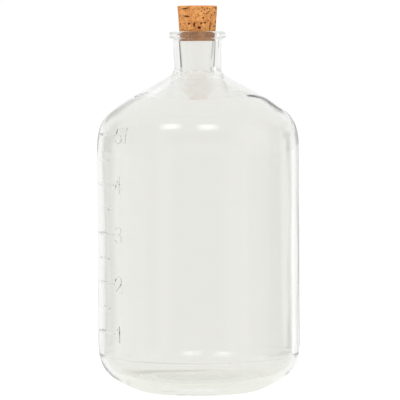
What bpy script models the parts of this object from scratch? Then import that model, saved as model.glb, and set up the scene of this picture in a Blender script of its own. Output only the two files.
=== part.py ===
"""A glass carboy: one blown glass jar with a litre scale moulded on its side, and a tapered cork.

Metres, +Z up. The origin is the middle of the foot, on the surface that the jar stands on.
Seen from the front, which is -Y, the litre scale is on the left.
"""

import math

import bmesh
import bpy
from mathutils import Matrix, Vector

# Outside of the jar
BODY_RADIUS = 0.0912
JAR_HEIGHT = 0.3220
FOOT_RADIUS = 0.0556
FOOT_FILLET = 0.0020
HEEL_SLOPE = math.radians(23)
HEEL_FILLET = 0.0520
SHOULDER_SLOPE = math.radians(29.4)
SHOULDER_FILLET = 0.0410
NECK_LENGTH = 0.0369
NECK_WALL = 0.0053
NECK_DRAFT = 0.0007
NECK_FILLET = 0.0070
LIP_OVERHANG = 0.0037
LIP_THICKNESS = 0.0064
LIP_FILLET = 0.0026
UNDER_LIP_FILLET = 0.0014

# Inside of the jar
WALL = 0.0060
MOUTH_RADIUS = 0.0166
MOUTH_FILLET = 0.0012
BORE_TAPER = math.radians(4.1)
BORE_FOOT_FILLET = 0.0050
BASE_THICKNESS = 0.0070
INNER_HEEL_FILLET = 0.0400
FLOOR_FILLET = 0.0100
STANDING_RING_WIDTH = 0.0150
PUSH_UP = 0.0045

# Litre scale on the side: raised marks at each half litre, long at whole litres, with numerals
LITRE = 0.001
FIRST_LITRE_HEIGHT = 0.0551
SCALE_BEARING = math.radians(-67)
LONG_MARK_LENGTH = 0.0382
SHORT_MARK_LENGTH = 0.0207
MARK_WIDTH = 0.0010
NUMERAL_GAP = 0.0016
NUMERAL_HEIGHT = 0.0136
NUMERAL_WIDTH = 0.0096
NUMERAL_STROKE = 0.0014
RELIEF = 0.0006
RELIEF_ROOT = 0.0010
STROKE_STEP = 0.0080

# Cork
CORK_CLEARANCE = 0.0003
CORK_ABOVE_RIM = 0.0230
CORK_BELOW_RIM = 0.0086
CORK_EDGE_FILLET = 0.0008

# Fineness of the turned shapes
SIDES = 48
CHORD_ERROR = 0.0001
DOME_STEPS = 5

# Strokes of each sign: across from 0 to 1, up from 0 to 1
UPPER_BOWL = [(0, 0.9), (0.45, 1), (0.85, 0.9), (0.9, 0.7), (0.7, 0.55), (0.35, 0.53)]
LOWER_BOWL = [(0.35, 0.53), (0.75, 0.48), (0.97, 0.28), (0.85, 0.07), (0.45, 0), (0, 0.1)]
RING = [(0.5, 1), (0.88, 0.85), (1, 0.5), (0.88, 0.15), (0.5, 0), (0.12, 0.15), (0, 0.5), (0.12, 0.85)]
LOW_RING = [(0.5, 0.58), (0.9, 0.45), (0.9, 0.13), (0.5, 0), (0.1, 0.13), (0.1, 0.45)]
HIGH_RING = [(x, 1 - y) for x, y in LOW_RING]
SIGNS = {
    "0": [RING + RING[:1]],
    "1": [[(0.25, 0.78), (0.6, 1), (0.6, 0)]],
    "2": [[(0, 0.75), (0.15, 0.94), (0.5, 1), (0.85, 0.92), (0.95, 0.7), (0.8, 0.48), (0, 0), (1, 0)]],
    "3": [UPPER_BOWL, LOWER_BOWL],
    "4": [[(0.72, 0), (0.72, 1), (0, 0.27)], [(0, 0.27), (1, 0.27)]],
    "5": [[(0.92, 1), (0.18, 1)], [(0.18, 1), (0.1, 0.54), *LOWER_BOWL]],
    "6": [LOW_RING + LOW_RING[:1], [(0.1, 0.45), (0.3, 0.8), (0.75, 1)]],
    "7": [[(0, 1), (0.95, 1), (0.35, 0)]],
    "8": [LOW_RING + LOW_RING[:1], HIGH_RING + HIGH_RING[:1]],
    "9": [HIGH_RING + HIGH_RING[:1], [(0.9, 0.55), (0.7, 0.2), (0.25, 0)]],
    "l": [[(0.35, 1), (0.35, 0)]],
}


def rounded(corners):
    """Outline points from corners (radius, height, fillet). A fillet is limited by its two runs."""
    places = [Vector(corner[:2]) for corner in corners]
    halves, cuts = [math.pi / 2], [0.0]
    for before, place, after, corner in zip(places, places[1:], places[2:], corners[1:]):
        halves.append((before - place).angle(after - place) / 2)
        cuts.append(corner[2] / math.tan(halves[-1]))
    halves.append(math.pi / 2)
    cuts.append(0.0)
    shares = [
        min(1.0, (place - after).length / max(cut + next_cut, 1e-9))
        for place, after, cut, next_cut in zip(places, places[1:], cuts, cuts[1:])
    ]
    points = [places[0]]
    for i in range(1, len(places) - 1):
        cut = cuts[i] * min(shares[i - 1], shares[i])
        if not cut:
            points.append(places[i])
            continue
        back = (places[i - 1] - places[i]).normalized()
        ahead = (places[i + 1] - places[i]).normalized()
        centre = places[i] + (back + ahead).normalized() * cut / math.cos(halves[i])
        first = places[i] + back * cut - centre
        turn = -first.angle_signed(places[i] + ahead * cut - centre)
        steps = math.ceil(abs(turn) / (2 * math.acos(1 - CHORD_ERROR / first.length)))
        points += [centre + Matrix.Rotation(turn * k / steps, 2) @ first for k in range(steps + 1)]
    points.append(places[-1])
    return points


def dome(edge, height, rise):
    """Corners of a shallow dome, from the axis out to its edge."""
    radii = [edge * k / DOME_STEPS for k in range(DOME_STEPS + 1)]
    return [(radius, height + rise * (1 - (radius / edge) ** 2), 0) for radius in radii]


# Places that follow from the sizes
INNER_RADIUS = BODY_RADIUS - WALL
NECK_TOP_RADIUS = MOUTH_RADIUS + NECK_WALL
NECK_FOOT_RADIUS = NECK_TOP_RADIUS - NECK_DRAFT
RING_INSIDE = FOOT_RADIUS - STANDING_RING_WIDTH
HEEL_CORNER = (BODY_RADIUS - FOOT_RADIUS) * math.tan(HEEL_SLOPE)
NECK_FOOT = JAR_HEIGHT - NECK_LENGTH
SHOULDER_CORNER = NECK_FOOT - (BODY_RADIUS - NECK_FOOT_RADIUS) * math.tan(SHOULDER_SLOPE)
LIP_RADIUS = NECK_TOP_RADIUS + LIP_OVERHANG
LIP_UNDERSIDE = JAR_HEIGHT - LIP_THICKNESS

# The outside, from the middle of the underside to the rim
OUTSIDE = [
    *dome(RING_INSIDE, 0, PUSH_UP),
    (FOOT_RADIUS, 0, FOOT_FILLET),
    (BODY_RADIUS, HEEL_CORNER, HEEL_FILLET),
    (BODY_RADIUS, SHOULDER_CORNER, SHOULDER_FILLET),
    (NECK_FOOT_RADIUS, NECK_FOOT, NECK_FILLET),
    (NECK_TOP_RADIUS, LIP_UNDERSIDE, UNDER_LIP_FILLET),
    (LIP_RADIUS, LIP_UNDERSIDE, LIP_FILLET),
    (LIP_RADIUS, JAR_HEIGHT, LIP_FILLET),
    (MOUTH_RADIUS, JAR_HEIGHT, MOUTH_FILLET),
]

# The inside of the shoulder runs parallel to its outside, and meets the tapered bore
CONE_TOP = NECK_FOOT + NECK_FOOT_RADIUS * math.tan(SHOULDER_SLOPE) - WALL / math.cos(SHOULDER_SLOPE)
BORE_POINT = JAR_HEIGHT - MOUTH_RADIUS / math.tan(BORE_TAPER)
BORE_FOOT_RADIUS = (CONE_TOP - BORE_POINT) / (1 / math.tan(BORE_TAPER) + math.tan(SHOULDER_SLOPE))
INNER_HEEL_CORNER = HEEL_CORNER + WALL / math.cos(HEEL_SLOPE) - WALL * math.tan(HEEL_SLOPE)
FLOOR_RADIUS = INNER_RADIUS - (INNER_HEEL_CORNER - BASE_THICKNESS) / math.tan(HEEL_SLOPE)

# The inside, from the bore down to the middle of the floor
INSIDE = [
    (BORE_FOOT_RADIUS, BORE_POINT + BORE_FOOT_RADIUS / math.tan(BORE_TAPER), BORE_FOOT_FILLET),
    (INNER_RADIUS, CONE_TOP - INNER_RADIUS * math.tan(SHOULDER_SLOPE), SHOULDER_FILLET - WALL),
    (INNER_RADIUS, INNER_HEEL_CORNER, INNER_HEEL_FILLET),
    (FLOOR_RADIUS, BASE_THICKNESS, FLOOR_FILLET),
    *reversed(dome(RING_INSIDE, BASE_THICKNESS, PUSH_UP)),
]

JAR_OUTLINE = rounded(OUTSIDE + INSIDE)


def new_object(name, bm, parent=None):
    mesh = bpy.data.meshes.new(name)
    bm.to_mesh(mesh)
    bm.free()
    obj = bpy.data.objects.new(name, mesh)
    obj.parent = parent
    bpy.context.scene.collection.objects.link(obj)
    return obj


def turned(name, outline, parent):
    """A closed body turned about Z from an outline that starts and ends on the axis."""
    bm = bmesh.new()
    verts = [bm.verts.new((point.x, 0, point.y)) for point in outline]
    edges = [bm.edges.new(pair) for pair in zip(verts, verts[1:])]
    bmesh.ops.spin(
        bm, geom=verts + edges, axis=(0, 0, 1), angle=math.tau, steps=SIDES, use_merge=True
    )
    bmesh.ops.remove_doubles(bm, verts=bm.verts, dist=1e-6)
    bmesh.ops.recalc_face_normals(bm, faces=bm.faces)
    obj = new_object(name, bm, parent)
    obj.data.shade_smooth()
    obj.data.set_sharp_from_angle(angle=math.radians(40))
    return obj


def give_material(obj, name, colour, roughness, transmission):
    material = bpy.data.materials.new(name)
    material.use_nodes = True
    shader = material.node_tree.nodes["Principled BSDF"]
    shader.inputs["Base Color"].default_value = (*colour, 1)
    shader.inputs["Roughness"].default_value = roughness
    shader.inputs["Metallic"].default_value = 0
    shader.inputs["Transmission Weight"].default_value = transmission
    obj.data.materials.append(material)


def skin_radius(height):
    """Outside radius of the jar at a height above its foot."""
    side = JAR_OUTLINE[DOME_STEPS:]
    low, high = next((a, b) for a, b in zip(side, side[1:]) if a.y < height <= b.y)
    return low.x + (high.x - low.x) * (height - low.y) / (high.y - low.y)


def on_skin(place, depth):
    """A point over the skin. place is (across, height), across measured from the scale's middle."""
    bearing = SCALE_BEARING + place.x / BODY_RADIUS
    radius = skin_radius(place.y) + depth
    return radius * math.sin(bearing), -radius * math.cos(bearing), place.y


def stroke(bm, path, width):
    """A raised bar that follows the skin along path, with mitred corners and square ends."""
    path = [Vector(place) for place in path]
    path[0] += (path[0] - path[1]).normalized() * width / 2
    path[-1] += (path[-1] - path[-2]).normalized() * width / 2
    fine = [path[0]]
    for start, end in zip(path, path[1:]):
        steps = math.ceil((end - start).length / STROKE_STEP)
        fine += [start.lerp(end, (k + 1) / steps) for k in range(steps)]
    ways = [(end - start).normalized() for start, end in zip(fine, fine[1:])]
    rings = []
    for place, before, after in zip(fine, ways[:1] + ways, ways + ways[-1:]):
        mitre = (before + after).normalized()
        side = mitre.orthogonal() * width / 2 / mitre.dot(after)
        section = ((side, RELIEF), (-side, RELIEF), (-side, -RELIEF_ROOT), (side, -RELIEF_ROOT))
        rings.append([bm.verts.new(on_skin(place + shift, depth)) for shift, depth in section])
    for ring, after in zip(rings, rings[1:]):
        for k in range(4):
            bm.faces.new((ring[k], ring[k - 1], after[k - 1], after[k]))
    bm.faces.new(rings[0])
    bm.faces.new(reversed(rings[-1]))


def lettering(bm, signs, left, middle):
    """Raised strokes of a row of signs. left is its left edge and middle its middle height."""
    for i, sign in enumerate(signs):
        start = left + i * (NUMERAL_WIDTH + NUMERAL_GAP)
        for path in SIGNS[sign]:
            ups = [middle + (y - 0.5) * NUMERAL_HEIGHT for _, y in path]
            stroke(bm, [(start + x * NUMERAL_WIDTH, up) for (x, _), up in zip(path, ups)], NUMERAL_STROKE)


def litre_scale():
    """Every raised mark and numeral, up to the last half litre under the shoulder."""
    bm = bmesh.new()
    litre_step = LITRE / (math.pi * INNER_RADIUS**2)
    half_steps = int(2 * (SHOULDER_CORNER - FIRST_LITRE_HEIGHT) / litre_step)
    for k in range(half_steps + 1):
        height = FIRST_LITRE_HEIGHT + k * litre_step / 2
        reach = SHORT_MARK_LENGTH / 2 if k % 2 else LONG_MARK_LENGTH / 2
        stroke(bm, [(-reach, height), (reach, height)], MARK_WIDTH)
        if k % 2 == 0:
            signs = str(1 + k // 2) + ("l" if k + 2 > half_steps else "")
            lettering(bm, signs, reach + NUMERAL_GAP, height)
    bmesh.ops.recalc_face_normals(bm, faces=bm.faces)
    relief = new_object("litre_scale", bm)
    relief.hide_render = True
    relief.display_type = "WIRE"
    return relief


for leftover in list(bpy.data.objects):
    bpy.data.objects.remove(leftover)

carboy = bpy.data.objects.new("carboy", None)
bpy.context.scene.collection.objects.link(carboy)

jar = turned("glass_jar", JAR_OUTLINE, carboy)
give_material(jar, "clear_glass", (0.93, 0.95, 0.93), 0.02, 1.0)
moulding = jar.modifiers.new("moulded scale", "BOOLEAN")
moulding.operation = "UNION"
moulding.solver = "EXACT"
moulding.use_self = True
moulding.object = litre_scale()

# The cork's origin is on its axis, level with the rim. It fits the bore's taper with a clearance
CORK_SEAT_RADIUS = MOUTH_RADIUS - CORK_CLEARANCE
CORK_TOP_RADIUS = CORK_SEAT_RADIUS + CORK_ABOVE_RIM * math.tan(BORE_TAPER)
CORK_END_RADIUS = CORK_SEAT_RADIUS - CORK_BELOW_RIM * math.tan(BORE_TAPER)
CORK_OUTLINE = rounded(
    [
        (0, -CORK_BELOW_RIM, 0),
        (CORK_END_RADIUS, -CORK_BELOW_RIM, CORK_EDGE_FILLET),
        (CORK_TOP_RADIUS, CORK_ABOVE_RIM, CORK_EDGE_FILLET),
        (0, CORK_ABOVE_RIM, 0),
    ]
)
cork = turned("cork_stopper", CORK_OUTLINE, carboy)
cork.location.z = JAR_HEIGHT
give_material(cork, "natural_cork", (0.64, 0.38, 0.19), 0.85, 0.0)
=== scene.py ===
"""A glass carboy on a white studio table: a moulded glass jar with a litre scale, and a tapered cork.

Metres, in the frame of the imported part: +Z up, the jar stands on Z = 0, and its front faces -Y.
"""
import math
import random

import bpy
import numpy as np
from mathutils import Matrix, Vector, noise


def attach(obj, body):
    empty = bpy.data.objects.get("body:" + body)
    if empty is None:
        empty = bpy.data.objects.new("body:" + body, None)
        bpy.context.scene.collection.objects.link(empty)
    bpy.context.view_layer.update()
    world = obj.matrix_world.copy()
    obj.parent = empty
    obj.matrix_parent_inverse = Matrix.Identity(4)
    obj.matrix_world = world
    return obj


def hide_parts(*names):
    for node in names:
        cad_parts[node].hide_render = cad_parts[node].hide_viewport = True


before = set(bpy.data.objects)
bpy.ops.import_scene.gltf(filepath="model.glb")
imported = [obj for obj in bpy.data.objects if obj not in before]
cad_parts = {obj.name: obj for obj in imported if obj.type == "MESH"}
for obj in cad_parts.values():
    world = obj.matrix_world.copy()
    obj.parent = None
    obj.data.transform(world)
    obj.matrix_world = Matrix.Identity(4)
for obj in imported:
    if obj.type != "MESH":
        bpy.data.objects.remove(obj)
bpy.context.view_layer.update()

# ---- The glass jar -------------------------------------------------------------------------------
# One piece of clear soda-lime glass with a faint green cast, blown in a mould: a straight body, a
# cone for a shoulder, and a neck with a thick round lip. The mould leaves a fine line round the heel.
# The inside is a little wavy, because only air shaped it.

BODY_RADIUS = 0.0912
JAR_HEIGHT = 0.3220
FOOT_RADIUS = 0.0556
HEEL_SLOPE = math.radians(23)
SHOULDER_SLOPE = math.radians(29.4)
NECK_FOOT = JAR_HEIGHT - 0.0369
MOUTH_RADIUS = 0.0166
NECK_TOP_RADIUS = MOUTH_RADIUS + 0.0053
NECK_FOOT_RADIUS = NECK_TOP_RADIUS - 0.0007
LIP_RADIUS = NECK_TOP_RADIUS + 0.0037
LIP_UNDERSIDE = JAR_HEIGHT - 0.0064
LIP_FILLET = 0.0026
WALL = 0.0060
BASE_THICKNESS = 0.0070
BORE_TAPER = math.radians(4.1)
RING_INSIDE = FOOT_RADIUS - 0.0150
PUSH_UP = 0.0045
DOME_STEPS = 16
ARC_STEP = 0.0012
ARC_TURN = math.radians(9)
EASED_FROM = 0.0100
EASE = 1.6
EASE_POLES = (1, 0.55, 0.15)

INNER_RADIUS = BODY_RADIUS - WALL
HEEL_CORNER = (BODY_RADIUS - FOOT_RADIUS) * math.tan(HEEL_SLOPE)
SHOULDER_CORNER = NECK_FOOT - (BODY_RADIUS - NECK_FOOT_RADIUS) * math.tan(SHOULDER_SLOPE)
BORE_FOOT = JAR_HEIGHT - 0.0405
BORE_FOOT_RADIUS = MOUTH_RADIUS - (JAR_HEIGHT - BORE_FOOT) * math.tan(BORE_TAPER)
INNER_HEEL_CORNER = HEEL_CORNER + WALL / math.cos(HEEL_SLOPE) - WALL * math.tan(HEEL_SLOPE)
FLOOR_RADIUS = INNER_RADIUS - (INNER_HEEL_CORNER - BASE_THICKNESS) / math.tan(HEEL_SLOPE)


def dome(edge, height, rise):
    """Corners of a shallow dome, from the axis out to its edge."""
    radii = [edge * k / DOME_STEPS for k in range(DOME_STEPS + 1)]
    return [(radius, height + rise * (1 - (radius / edge) ** 2), 0) for radius in radii]


def rounded(corners):
    """Outline points from corners (radius, height, fillet). A fillet is limited by its two runs.

    A large fillet starts and ends gently, as glass flows.
    """
    places = [Vector(corner[:2]) for corner in corners]
    halves, cuts = [math.pi / 2], [0.0]
    for before, place, after, corner in zip(places, places[1:], places[2:], corners[1:]):
        halves.append((before - place).angle(after - place) / 2)
        cuts.append(corner[2] / math.tan(halves[-1]) * (EASE if corner[2] >= EASED_FROM else 1))
    halves.append(math.pi / 2)
    cuts.append(0.0)
    shares = [
        min(1.0, (place - after).length / max(cut + next_cut, 1e-9))
        for place, after, cut, next_cut in zip(places, places[1:], cuts, cuts[1:])
    ]
    points = [places[0]]
    for i in range(1, len(places) - 1):
        cut = cuts[i] * min(shares[i - 1], shares[i])
        if not cut:
            points.append(places[i])
            continue
        back = (places[i - 1] - places[i]).normalized() * cut
        ahead = (places[i + 1] - places[i]).normalized() * cut
        if corners[i][2] >= EASED_FROM:
            poles = [back * pull for pull in EASE_POLES] + [ahead * pull for pull in reversed(EASE_POLES)]
            steps = math.ceil(2 * cut / ARC_STEP)
            for k in range(steps + 1):
                gone = k / steps
                weights = [math.comb(5, j) * gone**j * (1 - gone) ** (5 - j) for j in range(6)]
                points.append(places[i] + sum((p * w for p, w in zip(poles, weights)), Vector((0, 0))))
            continue
        centre = places[i] + (back + ahead).normalized() * cut / math.cos(halves[i])
        first = places[i] + back - centre
        turn = -first.angle_signed(places[i] + ahead - centre)
        steps = math.ceil(max(abs(turn) / ARC_TURN, abs(turn) * first.length / ARC_STEP))
        points += [centre + Matrix.Rotation(turn * k / steps, 2) @ first for k in range(steps + 1)]
    points.append(places[-1])
    return points


# Corners (radius, height, fillet): outside from the foot up, inside from the mouth down
SHOULDER_FILLET = 0.0410
INNER_CROWN_RADIUS = 0.0580
INNER_CROWN_HEIGHT = 0.2595
INNER_SHOULDER_CORNER = 0.2425
OUTSIDE = [
    *dome(RING_INSIDE, 0, PUSH_UP),
    (FOOT_RADIUS, 0, 0.0020),
    (BODY_RADIUS, HEEL_CORNER, 0.0520),
    (BODY_RADIUS, SHOULDER_CORNER, SHOULDER_FILLET),
    (NECK_FOOT_RADIUS, NECK_FOOT, 0.0070),
    (NECK_TOP_RADIUS, LIP_UNDERSIDE, 0.0014),
    (LIP_RADIUS, LIP_UNDERSIDE, LIP_FILLET),
    (LIP_RADIUS, JAR_HEIGHT, LIP_FILLET),
    (MOUTH_RADIUS, JAR_HEIGHT, 0.0012),
]
INSIDE = [
    (BORE_FOOT_RADIUS, BORE_FOOT, 0.0095),
    (INNER_CROWN_RADIUS, INNER_CROWN_HEIGHT, 0.0600),
    (INNER_RADIUS, INNER_SHOULDER_CORNER, SHOULDER_FILLET - WALL),
    (INNER_RADIUS, INNER_HEEL_CORNER, 0.0400),
    (FLOOR_RADIUS, BASE_THICKNESS, 0.0100),
    *reversed(dome(RING_INSIDE, BASE_THICKNESS, PUSH_UP)),
]

# The scale stands out of the body: a mark at each half litre, long at whole litres, with numerals
FIRST_LITRE_HEIGHT = 0.0551
LITRE_STEP = 0.001 / (math.pi * INNER_RADIUS**2)
SCALE_BEARING = math.radians(-67)
LONG_MARK_LENGTH = 0.0382
SHORT_MARK_LENGTH = 0.0207
MARK_WIDTH = 0.0010
NUMERAL_GAP = 0.0016
NUMERAL_HEIGHT = 0.0136
NUMERAL_WIDTH = 0.0096
NUMERAL_STROKE = 0.0014
RELIEF = 0.0003
RELIEF_EDGE = 0.0005
UPPER_BOWL = [(0, 0.9), (0.45, 1), (0.85, 0.9), (0.9, 0.7), (0.7, 0.55), (0.35, 0.53)]
LOWER_BOWL = [(0.35, 0.53), (0.75, 0.48), (0.97, 0.28), (0.85, 0.07), (0.45, 0), (0, 0.1)]
SIGNS = {
    "1": [[(0.25, 0.78), (0.6, 1), (0.6, 0)]],
    "2": [[(0, 0.75), (0.15, 0.94), (0.5, 1), (0.85, 0.92), (0.95, 0.7), (0.8, 0.48), (0, 0), (1, 0)]],
    "3": [UPPER_BOWL, LOWER_BOWL],
    "4": [[(0.72, 0), (0.72, 1), (0, 0.27)], [(0, 0.27), (1, 0.27)]],
    "5": [[(0.92, 1), (0.18, 1)], [(0.18, 1), (0.1, 0.54), *LOWER_BOWL]],
    "l": [[(0.35, 1), (0.35, 0)]],
}


def scale_strokes():
    """Every stroke of the scale as (start, end, width), in places (across, height) on the wall."""
    strokes = []
    half_steps = int(2 * (SHOULDER_CORNER - FIRST_LITRE_HEIGHT) / LITRE_STEP)
    for k in range(half_steps + 1):
        middle = FIRST_LITRE_HEIGHT + k * LITRE_STEP / 2
        reach = SHORT_MARK_LENGTH / 2 if k % 2 else LONG_MARK_LENGTH / 2
        strokes.append((Vector((-reach, middle)), Vector((reach, middle)), MARK_WIDTH))
        if k % 2:
            continue
        signs = str(1 + k // 2) + ("l" if k + 2 > half_steps else "")
        for i, sign in enumerate(signs):
            left = reach + NUMERAL_GAP + i * (NUMERAL_WIDTH + NUMERAL_GAP)
            corner = Vector((left, middle - NUMERAL_HEIGHT / 2))
            for path in SIGNS[sign]:
                places = [corner + Vector((x * NUMERAL_WIDTH, y * NUMERAL_HEIGHT)) for x, y in path]
                strokes += [(start, end, NUMERAL_STROKE) for start, end in zip(places, places[1:])]
    return strokes


STROKES = scale_strokes()


def relief(across, height):
    """How far the scale stands out of the wall at places on it."""
    rise = np.zeros(np.broadcast(across, height).shape)
    for start, end, width in STROKES:
        run = end - start
        share = ((across - start.x) * run.x + (height - start.y) * run.y) / run.length_squared
        share = np.clip(share, 0, 1)
        distance = np.hypot(across - start.x - share * run.x, height - start.y - share * run.y)
        slope = np.clip((width / 2 + RELIEF_EDGE / 2 - distance) / RELIEF_EDGE, 0, 1)
        rise = np.maximum(rise, RELIEF * width / MARK_WIDTH * slope * slope * (3 - 2 * slope))
    return rise


MOULD_LINE_HEIGHT = 0.0320
MOULD_LINE_RISE = 0.00022
MOULD_LINE_WIDTH = 0.0006
WAVE_OF_INSIDE = 0.00022
WAVE_FADE = 0.02
FINE_ROW = 0.0004
COARSE_ROW = 0.0020
NEAR_SCALE = 0.0035
NEAR_MOULD_LINE = 0.003


def row_step(point):
    """Distance to the next row of the mesh: close where the scale or the mould line stands out."""
    heights = {round(height, 6) for start, end, _ in STROKES for height in (start.y, end.y)}
    nearest = min(abs(point.y - height) for height in heights)
    if point.x > INNER_RADIUS + WALL / 2 and nearest < NEAR_SCALE:
        return FINE_ROW
    if point.x > INNER_RADIUS and abs(point.y - MOULD_LINE_HEIGHT) < NEAR_MOULD_LINE:
        return FINE_ROW
    return COARSE_ROW


def with_rows(outline):
    """The outline with points added along its long runs."""
    points = []
    for start, end in zip(outline, outline[1:]):
        run = end - start
        gone = 0.0
        while gone < run.length - 1e-6:
            point = start + run * (gone / run.length)
            points.append(point)
            gone += row_step(point)
    points.append(outline[-1])
    return np.array(points)


SCALE_START = math.radians(-82)
SCALE_END = math.radians(-37)
FINE_TURN = math.radians(0.27)
COARSE_COLUMNS = 210


def bearings():
    """Bearings of the columns of the mesh, from the front towards +X: close over the scale."""
    fine = np.arange(SCALE_START, SCALE_END, FINE_TURN)
    coarse = np.linspace(SCALE_END, SCALE_START + math.tau, COARSE_COLUMNS + 1)[:-1]
    return np.concatenate([fine, coarse])


def wave(bearing, height):
    """Slow unevenness of a blown surface, about -1 to 1."""
    swell = np.sin(2 * bearing + 9 * height + 0.4) + 0.8 * np.sin(3 * bearing - 21 * height + 2.1)
    ripple = 0.5 * np.sin(7 * bearing + 33 * height + 1.3) + 0.35 * np.sin(11 * bearing - 52 * height)
    return (swell + ripple) / 2


def ring(bearing, radius, height):
    """A row of points round the axis."""
    return np.stack([radius * np.sin(bearing), -radius * np.cos(bearing), height + 0 * bearing], 1)


def grid_mesh(name, rows):
    """A mesh from rows of points round the axis; a row of one point closes an end."""
    starts = np.cumsum([0] + [len(row) for row in rows])
    faces = []
    for row, after, start, next_start in zip(rows, rows[1:], starts, starts[1:]):
        count = max(len(row), len(after))
        here = start + np.arange(count) % len(row)
        there = next_start + np.arange(count) % len(after)
        next_here = start + (np.arange(count) + 1) % count % len(row)
        next_there = next_start + (np.arange(count) + 1) % count % len(after)
        if len(row) == 1:
            faces += np.stack([here, next_there, there], 1).tolist()
        elif len(after) == 1:
            faces += np.stack([here, next_here, there], 1).tolist()
        else:
            faces += np.stack([here, next_here, next_there, there], 1).tolist()
    mesh = bpy.data.meshes.new(name)
    mesh.from_pydata(np.concatenate(rows).tolist(), [], faces)
    mesh.shade_smooth()
    return mesh


def jar_mesh():
    outline = with_rows(rounded(OUTSIDE + INSIDE))
    rim = int(np.argmax(outline[:, 1]))
    run = np.gradient(outline, axis=0)
    run /= np.linalg.norm(run, axis=1)[:, None]
    bearing = bearings()
    rows = []
    for k, ((radius, height), (ahead, up)) in enumerate(zip(outline, run)):
        if radius < 1e-6:
            rows.append(np.array([[0, 0, height]]))
            continue
        if k < rim:
            rise = relief(BODY_RADIUS * (bearing - SCALE_BEARING), height) if radius > INNER_RADIUS else 0
            line = MOULD_LINE_RISE * math.exp(-(((height - MOULD_LINE_HEIGHT) / MOULD_LINE_WIDTH) ** 2))
            rise = rise + line * (radius > INNER_RADIUS)
        else:
            fade = min(1, max(0, (NECK_FOOT - height) / WAVE_FADE)) * min(1, radius / FOOT_RADIUS)
            rise = WAVE_OF_INSIDE * fade * wave(bearing, height)
        rows.append(ring(bearing, radius + rise * up, height - rise * ahead))
    return grid_mesh("jar", rows)


GLASS_TINT = (0.898, 0.896, 0.872, 1)


def clear_glass():
    material = bpy.data.materials.new("clear_glass")
    material.use_nodes = True
    nodes, links = material.node_tree.nodes, material.node_tree.links
    shader = nodes["Principled BSDF"]
    shader.inputs["Base Color"].default_value = GLASS_TINT
    shader.inputs["Roughness"].default_value = 0.0
    shader.inputs["IOR"].default_value = 1.5
    shader.inputs["Transmission Weight"].default_value = 1.0
    place = nodes.new("ShaderNodeTexCoord")
    swirl = nodes.new("ShaderNodeTexNoise")
    swirl.inputs["Scale"].default_value = 45
    swirl.inputs["Detail"].default_value = 2
    bump = nodes.new("ShaderNodeBump")
    bump.inputs["Strength"].default_value = 0.25
    bump.inputs["Distance"].default_value = 0.0002
    links.new(place.outputs["Object"], swirl.inputs["Vector"])
    links.new(swirl.outputs["Fac"], bump.inputs["Height"])
    links.new(bump.outputs["Normal"], shader.inputs["Normal"])
    return material


jar = bpy.data.objects.new("jar", jar_mesh())
bpy.context.scene.collection.objects.link(jar)
jar.data.materials.append(clear_glass())
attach(jar, "jar")
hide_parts("glass_jar")

# ---- The cork ------------------------------------------------------------------------------------
# A tapered stopper cut from natural cork bark. Its pores run through it as dark brown channels, which
# show on the side as pits and short cracks. It is pushed into the mouth by hand and pulls straight up.

CORK_TOP = 0.0230
CORK_BOTTOM = -0.0086
CORK_SEAT_RADIUS = MOUTH_RADIUS - 0.0003
CORK_EDGE = 0.0008
CORK_STEP = 0.0003
CORK_COLUMNS = 360


def cork_outline():
    """Points (radius, height above the rim) from the middle of the end to the middle of the top."""
    top_radius = CORK_SEAT_RADIUS + CORK_TOP * math.tan(BORE_TAPER)
    end_radius = CORK_SEAT_RADIUS + CORK_BOTTOM * math.tan(BORE_TAPER)
    corners = [
        (0, CORK_BOTTOM, 0),
        (end_radius, CORK_BOTTOM, CORK_EDGE),
        (top_radius, CORK_TOP, CORK_EDGE),
        (0, CORK_TOP, 0),
    ]
    outline = rounded(corners)
    points = []
    for start, end in zip(outline, outline[1:]):
        steps = math.ceil((end - start).length / CORK_STEP)
        points += [start.lerp(end, k / steps) for k in range(steps)]
    return points + [outline[-1]]


# Each pore on the front: bearing in degrees, height above the rim, length, width and depth in
# millimetres, and how far it leans from lying flat, in degrees
PORES = [
    (-41, 20.2, 6.5, 0.9, 0.7, 4),
    (-66, 13.8, 1.8, 1.3, 0.9, 10),
    (-67, 6.8, 2.0, 1.4, 0.9, 70),
    (-34, 13.4, 5.6, 1.0, 0.8, -6),
    (-27, 6.7, 1.9, 1.3, 0.9, 30),
    (-10, 5.8, 3.8, 1.1, 0.9, 84),
    (6, 3.2, 2.2, 1.6, 1.2, 15),
    (18, 12.0, 1.6, 1.1, 0.8, 40),
    (12, 7.0, 1.9, 1.1, 0.8, 75),
    (24, 7.6, 1.7, 1.2, 0.8, -20),
    (43, 4.6, 7.0, 1.0, 0.9, 87),
    (12, 17.8, 1.5, 0.8, 0.6, 20),
    (28, 15.6, 1.6, 0.8, 0.6, -30),
    (40, 18.0, 1.4, 0.8, 0.6, 5),
    (47, 14.6, 1.5, 0.9, 0.7, 50),
    (4, 19.4, 1.2, 0.7, 0.5, 0),
    (14, 21.0, 1.1, 0.8, 0.7, 10),
    (22, 19.2, 1.3, 0.8, 0.7, 60),
    (30, 20.6, 1.2, 0.8, 0.7, -10),
    (34, 17.0, 1.3, 0.8, 0.7, 30),
    (39, 20.0, 1.1, 0.8, 0.7, 80),
    (20, 16.2, 1.1, 0.8, 0.7, 0),
    (44, 12.4, 1.2, 0.8, 0.7, 60),
    (35, 9.6, 1.1, 0.8, 0.7, 20),
]


OTHER_PORES = 110
SPECKS = 60
TOP_PORES = 26
TOP_PORE_DEPTH = 0.0005
DARK_PORE_DEPTH = 0.0005
GRAIN_RISE = 0.00006
GRAIN_SCALE = 900


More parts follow.
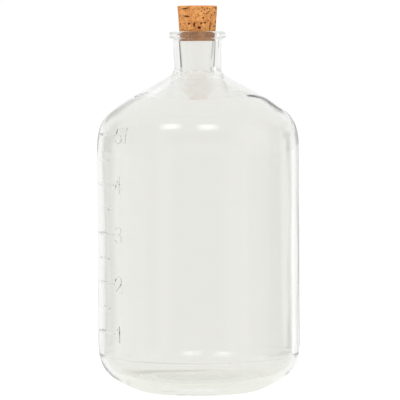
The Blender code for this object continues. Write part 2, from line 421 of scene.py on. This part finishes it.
def all_pores():
    """The pores of the front, others like them over the rest of the side, and specks on the front."""
    chance = random.Random(7)
    pores = list(PORES)
    for _ in range(OTHER_PORES):
        bearing = chance.uniform(60, 285)
        length = chance.choice([1.2, 1.5, 1.8, 2.4, 4.0, 6.0])
        lean = chance.choice([0, 5, -8, 20, 80, 88])
        up, width, deep = chance.uniform(-8, 22), chance.uniform(0.6, 1.3), chance.uniform(0.5, 0.9)
        pores.append((bearing, up, length, width, deep, lean))
    for _ in range(SPECKS):
        bearing, up = chance.uniform(-60, 60), chance.uniform(-8, 22)
        length, lean = chance.uniform(0.6, 1.1), chance.uniform(0, 90)
        pores.append((bearing, up, length, 0.6, 0.3, lean))
    return pores


def cork_mesh():
    outline = cork_outline()
    bearing = np.linspace(0, math.tau, CORK_COLUMNS, endpoint=False)
    pores = all_pores()
    chance = random.Random(3)
    top_pores = []
    for _ in range(TOP_PORES):
        reach, way = chance.uniform(0, 0.016), chance.uniform(0, math.tau)
        length, width = chance.uniform(0.0006, 0.0030), chance.uniform(0.0004, 0.0007)
        top_pores.append((reach * math.cos(way), reach * math.sin(way), length, width))
    rows, depths = [], []
    for k, point in enumerate(outline):
        radius, height = point
        if radius < 1e-6:
            rows.append(np.array([[0, 0, JAR_HEIGHT + height]]))
            depths.append(np.zeros(1))
            continue
        before, after = outline[k - 1], outline[k + 1]
        run = (after - before).normalized()
        depth = np.zeros(CORK_COLUMNS)
        on_end = abs(run.y) < 0.5
        if on_end:
            x, y = radius * np.sin(bearing), -radius * np.cos(bearing)
            for left, front, length, width in top_pores:
                reach = np.hypot((x - left) / length * 2, (y - front) / width * 2)
                depth = np.maximum(depth, TOP_PORE_DEPTH * np.clip(1.15 - reach, 0, 1))
        else:
            for degrees, up, length, width, deep, lean in pores:
                turn = (bearing - math.radians(degrees) + math.pi) % math.tau - math.pi
                across, rise = turn * radius * 1000, height * 1000 - up
                along = across * math.cos(math.radians(lean)) + rise * math.sin(math.radians(lean))
                side = rise * math.cos(math.radians(lean)) - across * math.sin(math.radians(lean))
                side = side + 0.18 * width * np.sin(along * 3.1 + degrees)
                reach = np.hypot(along / length * 1.5, side / width * 1.4)
                depth = np.maximum(depth, deep / 1000 * np.clip((1.1 - reach) * 1.6, 0, 1))
        places = [Vector((radius * math.sin(b), radius * math.cos(b), height)) for b in bearing]
        grain = np.array([noise.fractal(place * GRAIN_SCALE, 1.0, 2.0, 3) for place in places])
        rise = GRAIN_RISE * grain - depth
        rows.append(ring(bearing, radius + rise * run.y, JAR_HEIGHT + height - rise * run.x))
        depths.append(depth)
    mesh = grid_mesh("cork", rows)
    pit = mesh.attributes.new("pore_depth", "FLOAT", "POINT")
    darkness = np.clip(np.concatenate(depths) / DARK_PORE_DEPTH, 0, 1)
    pit.data.foreach_set("value", darkness.astype(np.float32))
    return mesh


DARK_CORK = (0.56, 0.20, 0.048, 1)
LIGHT_CORK = (0.86, 0.40, 0.125, 1)
SPECK_SHADE = (0.45, 0.35, 0.28, 1)
PORE_BROWN = (0.075, 0.011, 0.002, 1)


def natural_cork():
    material = bpy.data.materials.new("natural_cork")
    material.use_nodes = True
    nodes, links = material.node_tree.nodes, material.node_tree.links
    shader = nodes["Principled BSDF"]
    shader.inputs["Roughness"].default_value = 0.85
    shader.inputs["Specular IOR Level"].default_value = 0.25
    place = nodes.new("ShaderNodeTexCoord")
    patches = nodes.new("ShaderNodeTexNoise")
    patches.inputs["Scale"].default_value = 210
    patches.inputs["Detail"].default_value = 4
    colours = nodes.new("ShaderNodeValToRGB")
    colours.color_ramp.elements[0].position = 0.30
    colours.color_ramp.elements[0].color = DARK_CORK
    colours.color_ramp.elements[1].position = 0.62
    colours.color_ramp.elements[1].color = LIGHT_CORK
    specks = nodes.new("ShaderNodeTexNoise")
    specks.inputs["Scale"].default_value = 900
    specks.inputs["Detail"].default_value = 3
    speck_ramp = nodes.new("ShaderNodeValToRGB")
    speck_ramp.color_ramp.elements[0].position = 0.33
    speck_ramp.color_ramp.elements[0].color = SPECK_SHADE
    speck_ramp.color_ramp.elements[1].position = 0.45
    speck_ramp.color_ramp.elements[1].color = (1, 1, 1, 1)
    speckled = nodes.new("ShaderNodeMix")
    speckled.data_type = "RGBA"
    speckled.blend_type = "MULTIPLY"
    speckled.inputs["Factor"].default_value = 1
    pit = nodes.new("ShaderNodeAttribute")
    pit.attribute_name = "pore_depth"
    darkened = nodes.new("ShaderNodeMix")
    darkened.data_type = "RGBA"
    darkened.inputs["B"].default_value = PORE_BROWN
    bump = nodes.new("ShaderNodeBump")
    bump.inputs["Strength"].default_value = 0.5
    bump.inputs["Distance"].default_value = 0.0002
    links.new(place.outputs["Object"], patches.inputs["Vector"])
    links.new(place.outputs["Object"], specks.inputs["Vector"])
    links.new(patches.outputs["Fac"], colours.inputs["Fac"])
    links.new(specks.outputs["Fac"], speck_ramp.inputs["Fac"])
    links.new(colours.outputs["Color"], speckled.inputs["A"])
    links.new(speck_ramp.outputs["Color"], speckled.inputs["B"])
    links.new(pit.outputs["Fac"], darkened.inputs["Factor"])
    links.new(speckled.outputs["Result"], darkened.inputs["A"])
    links.new(darkened.outputs["Result"], shader.inputs["Base Color"])
    links.new(specks.outputs["Fac"], bump.inputs["Height"])
    links.new(bump.outputs["Normal"], shader.inputs["Normal"])
    return material


cork = bpy.data.objects.new("cork", cork_mesh())
bpy.context.scene.collection.objects.link(cork)
cork.data.materials.append(natural_cork())
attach(cork, "cork")
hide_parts("cork_stopper")

# ---- The table and the studio --------------------------------------------------------------------
# A wide white table in a white room. Papers and cards stand round the jar, a mat and a green pad lie
# under it, and a tent with two lamps hangs over it. These glow instead of being lit: their darker and
# lighter patches are painted shade and painted light of a room, and the pad is darker under the jar,
# a painted shadow of it. All but the table are out of the camera's sight: they are there for the glass
# to show.

TABLE_REACH = 18.0
TABLE_SIDES = 64
TABLE_GLOW = 0.92
ROOM_GLOW = 1.03


def glowing_white(name, strength):
    material = bpy.data.materials.new(name)
    material.use_nodes = True
    shader = material.node_tree.nodes["Principled BSDF"]
    shader.inputs["Base Color"].default_value = (0.1, 0.1, 0.1, 1)
    shader.inputs["Roughness"].default_value = 0.9
    shader.inputs["Emission Color"].default_value = (1, 1, 1, 1)
    shader.inputs["Emission Strength"].default_value = strength
    return material


def toned_paper(name, colour):
    """Paper that glows as bright as its tone, in place of lit paper: the tone is painted light and shade.
    """
    material = bpy.data.materials.new(name)
    material.use_nodes = True
    nodes, links = material.node_tree.nodes, material.node_tree.links
    tone = nodes.new("ShaderNodeAttribute")
    tone.attribute_name = "tone"
    glow = nodes.new("ShaderNodeEmission")
    glow.inputs["Color"].default_value = colour
    links.new(tone.outputs["Fac"], glow.inputs["Strength"])
    links.new(glow.outputs["Emission"], nodes["Material Output"].inputs["Surface"])
    return material


table_mesh = bpy.data.meshes.new("table")
around = [math.tau * k / TABLE_SIDES for k in range(TABLE_SIDES)]
table_edge = [(TABLE_REACH * math.sin(a), TABLE_REACH * math.cos(a), 0) for a in around]
table_mesh.from_pydata(table_edge, [], [range(TABLE_SIDES - 1, -1, -1)])
table = bpy.data.objects.new("table", table_mesh)
table.data.materials.append(glowing_white("white_table", TABLE_GLOW))
bpy.context.scene.collection.objects.link(table)


def soft_step(value, low, high, softness):
    """1 between low and high, with soft edges."""
    rising = np.clip((value - low) / softness + 0.5, 0, 1)
    falling = np.clip((high - value) / softness + 0.5, 0, 1)
    return rising * rising * (3 - 2 * rising) * falling * falling * (3 - 2 * falling)


DARKEST_TONE = 0.02


def tone_sheet(name, rows, base, patches, paper, side_softness, level_softness):
    """A ring of glowing paper round the jar from rows (radius, height, level), toned by patches of
    painted light and shade, and by lamps in the tent.

    A patch is (bearing, half its width, low level, high level, change of brightness).
    """
    bearing = np.radians(np.arange(0, 360, 2.0))
    points, tones = [], []
    for radius, height, level in rows:
        tone = np.full(len(bearing), base)
        for middle, half, low, high, change in patches:
            turn = np.degrees((bearing - math.radians(middle) + math.pi) % math.tau - math.pi)
            across = soft_step(turn, -half, half, side_softness)
            tone = tone + change * across * soft_step(level, low, high, level_softness)
        points.append(ring(bearing, radius, height))
        tones.append(np.maximum(tone, DARKEST_TONE))
    sheet = bpy.data.objects.new(name, grid_mesh(name, points))
    attribute = sheet.data.attributes.new("tone", "FLOAT", "POINT")
    attribute.data.foreach_set("value", np.concatenate(tones).astype(np.float32))
    sheet.data.materials.append(paper)
    sheet.visible_camera = False
    bpy.context.scene.collection.objects.link(sheet)
    return sheet


# Softness of a patch's edges: degrees at its sides, levels at its foot and top
PAPER_EDGES = (4, 0.06)
CARD_EDGES = (4, 1)
PAD_EDGES = (20, 0.02)
TENT_EDGES = (12, 7)

# Papers and cards have their height as level, the mat and the pad their radius
PAPER_RADIUS = 0.8
PAPER_TOP = 0.30
PAPER_WHITE = 1.01
MAT_HEIGHT = 0.0004
PAPER_ROWS = [MAT_HEIGHT, 0.01, 0.02, 0.03, 0.04, 0.05, 0.06, PAPER_TOP]
# The papers glow as white paper lit by a room: their darker patches are painted shade, the lighter patch
# on the left painted light, and the bright strip behind on the right a lamp. The mat carries the same
# patches beyond MAT_START.
PAINTED_SHADE_IN_FRONT = (0, 30, -1, 1, -0.15)
PAINTED_SHADE_ON_THE_RIGHT = (80, 25, -1, 1, -0.30)
LAMP_BEHIND_RIGHT = (130, 5, -1, 1, 0.40)
PAINTED_SHADE_BEHIND_RIGHT = (155, 5, -1, 1, -0.40)
PAINTED_SHADE_BEHIND_LEFT = (240, 15, -1, 1, -0.30)
PAINTED_LIGHT_ON_THE_LEFT = (285, 15, -1, 1, 0.20)
PAINTED_LIGHT_AND_SHADE_ON_PAPERS = [
    PAINTED_SHADE_IN_FRONT,
    PAINTED_SHADE_ON_THE_RIGHT,
    LAMP_BEHIND_RIGHT,
    PAINTED_SHADE_BEHIND_RIGHT,
    PAINTED_SHADE_BEHIND_LEFT,
    PAINTED_LIGHT_ON_THE_LEFT,
]
CARD_RADIUS = 0.50
CARD_FOOT = 0.207
CARD_TOP = 0.262
# Where the cards glow dimly they are painted shade beside the jar, which the glass shows as dark
# reflections.
PAINTED_SHADE_ON_CARDS = [(115, 5, -1, 1, -0.80), (245, 10, -1, 1, -0.80)]
PAD_ROWS = [0.001, 0.04, 0.06, 0.075, 0.088]
MAT_ROWS = [0.088, 0.11, 0.2, 0.3, 0.4, PAPER_RADIUS]
MAT_START = 0.3
# The green pad glows less under and just round the jar, and less again in a crescent behind it on the
# left: a painted shadow of the jar, seen through its base.
PAINTED_SHADOW_ON_PAD = [(0, 181, -1, 0.070, -0.12), (215, 40, 0.050, 0.078, -0.30)]
paper = toned_paper("white_paper", (1, 1, 1, 1))
green_paper = toned_paper("green_paper", (0.985, 1, 0.94, 1))
paper_rows = [(PAPER_RADIUS, z, z) for z in PAPER_ROWS]
card_rows = [(CARD_RADIUS, z, z) for z in (CARD_FOOT, CARD_TOP)]
mat_rows = [(r, MAT_HEIGHT, r) for r in MAT_ROWS]
pad_rows = [(r, MAT_HEIGHT, r) for r in PAD_ROWS]
mat_painted_light_and_shade = [(middle, half, MAT_START, 1, change) for middle, half, _, _, change in PAINTED_LIGHT_AND_SHADE_ON_PAPERS]
papers = tone_sheet("papers", paper_rows, PAPER_WHITE, PAINTED_LIGHT_AND_SHADE_ON_PAPERS, paper, *PAPER_EDGES)
cards = tone_sheet("cards", card_rows, 1.0, PAINTED_SHADE_ON_CARDS, paper, *CARD_EDGES)
mat = tone_sheet("mat", mat_rows, PAPER_WHITE, mat_painted_light_and_shade, paper, *PAPER_EDGES)
pad = tone_sheet("pad", pad_rows, PAPER_WHITE, PAINTED_SHADOW_ON_PAD, green_paper, *PAD_EDGES)
for sheet in (papers, cards, mat, pad):
    sheet.visible_diffuse = False
    sheet.visible_shadow = False

# Tent over the table: levels are degrees above the table
TENT_RADIUS = 4.0
TENT_MIDDLE = 0.16
DIM_FRONT = (0, 40, 5, 25, -0.30)
DIM_SIDES = [(110, 15, 5, 20, -0.30), (250, 15, 5, 25, -0.45)]
DIM_BACK = (205, 10, 10, 30, -0.40)
LAMPS = [(bearing, half, 33, 50, glow) for bearing in (12, -38) for half, glow in ((13, 2.0), (5, 1.2))]
TENT = [DIM_FRONT, *DIM_SIDES, DIM_BACK, *LAMPS]
tent_rows = []
for level in np.arange(4, 91, 2.0):
    rise = math.radians(level)
    tent_rows.append((TENT_RADIUS * math.cos(rise), TENT_MIDDLE + TENT_RADIUS * math.sin(rise), level))
tone_sheet("tent", tent_rows, 1.0, TENT, paper, *TENT_EDGES)

world = bpy.data.worlds.new("white_room")
bpy.context.scene.world = world
world.use_nodes = True
world.node_tree.nodes["Background"].inputs["Color"].default_value = (1, 1, 1, 1)
world.node_tree.nodes["Background"].inputs["Strength"].default_value = ROOM_GLOW

# ---- The camera ----------------------------------------------------------------------------------
# A long lens on a stand in front of the jar, about level with the foot of the neck and tilted a little
# down. Light takes many bounces to get through the walls of the jar and the neck.

LENS = 231.0
LENS_SHIFT = 0.0042
CAMERA_DISTANCE = 2.3103
CAMERA_HEIGHT = 0.29105
TILT_DOWN = 2.988
ROLL = -0.3
BOUNCES = 40

camera = bpy.data.objects.new("camera", bpy.data.cameras.new("camera"))
bpy.context.scene.collection.objects.link(camera)
camera.data.lens = LENS
camera.data.shift_x = LENS_SHIFT
camera.location = (0, -CAMERA_DISTANCE, CAMERA_HEIGHT)
camera.rotation_mode = "ZYX"
camera.rotation_euler = (math.radians(90 - TILT_DOWN), 0, math.radians(ROLL))
camera.data.clip_end = 60
bpy.context.scene.camera = camera
bpy.context.scene.cycles.max_bounces = BOUNCES
bpy.context.scene.cycles.glossy_bounces = BOUNCES
bpy.context.scene.cycles.transmission_bounces = BOUNCES
bpy.context.scene.view_settings.view_transform = "Standard"
